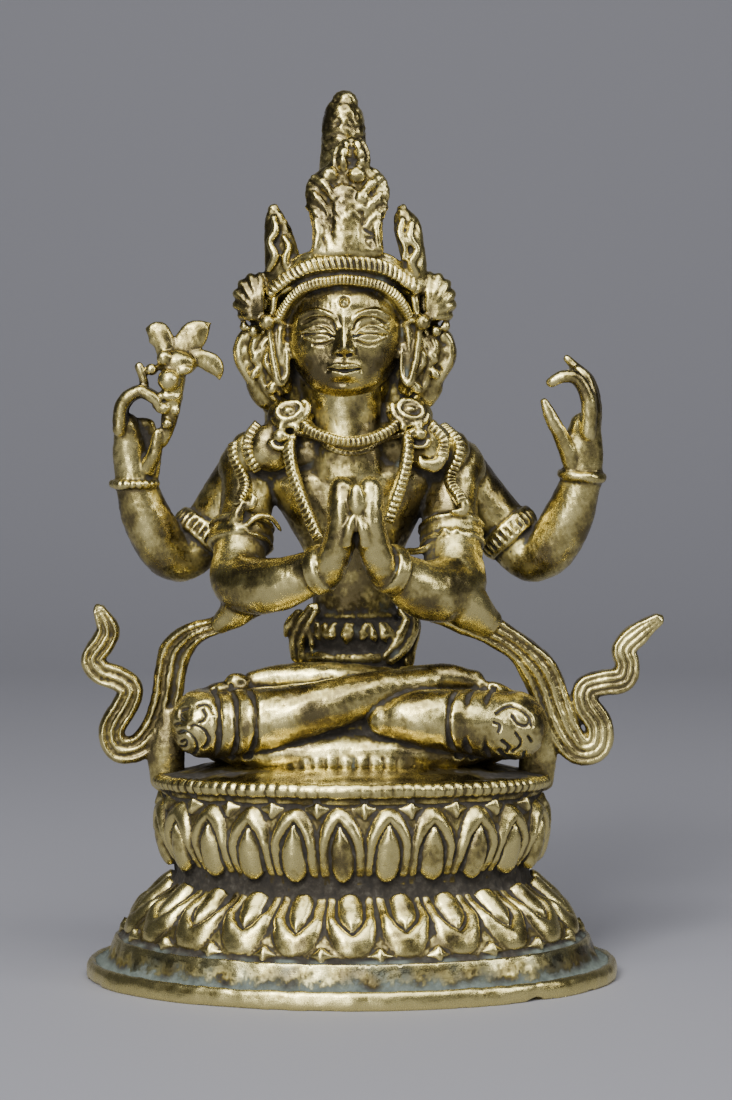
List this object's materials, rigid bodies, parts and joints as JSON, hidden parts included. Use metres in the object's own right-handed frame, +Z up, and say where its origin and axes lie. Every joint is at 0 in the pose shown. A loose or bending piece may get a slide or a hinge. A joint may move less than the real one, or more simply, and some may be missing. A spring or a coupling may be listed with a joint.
{
  "type": "avalokiteshvara statue",
  "caption": "Cast brass figure of a seated deity with four arms, crown, flying scarves and a held lotus, on an oval double lotus base.",
  "frame": {"origin": "middle of the flat underside of the base", "axes": "+Z up, the figure faces -Y, +X to the viewer's right"},
  "size_m": [0.099, 0.066, 0.1502],
  "materials": {
    "brass": "worn cast brass, dark in its recesses"
  },
  "bodies": {
    "root": {"statue": "brass"}
  },
  "joints": []
}
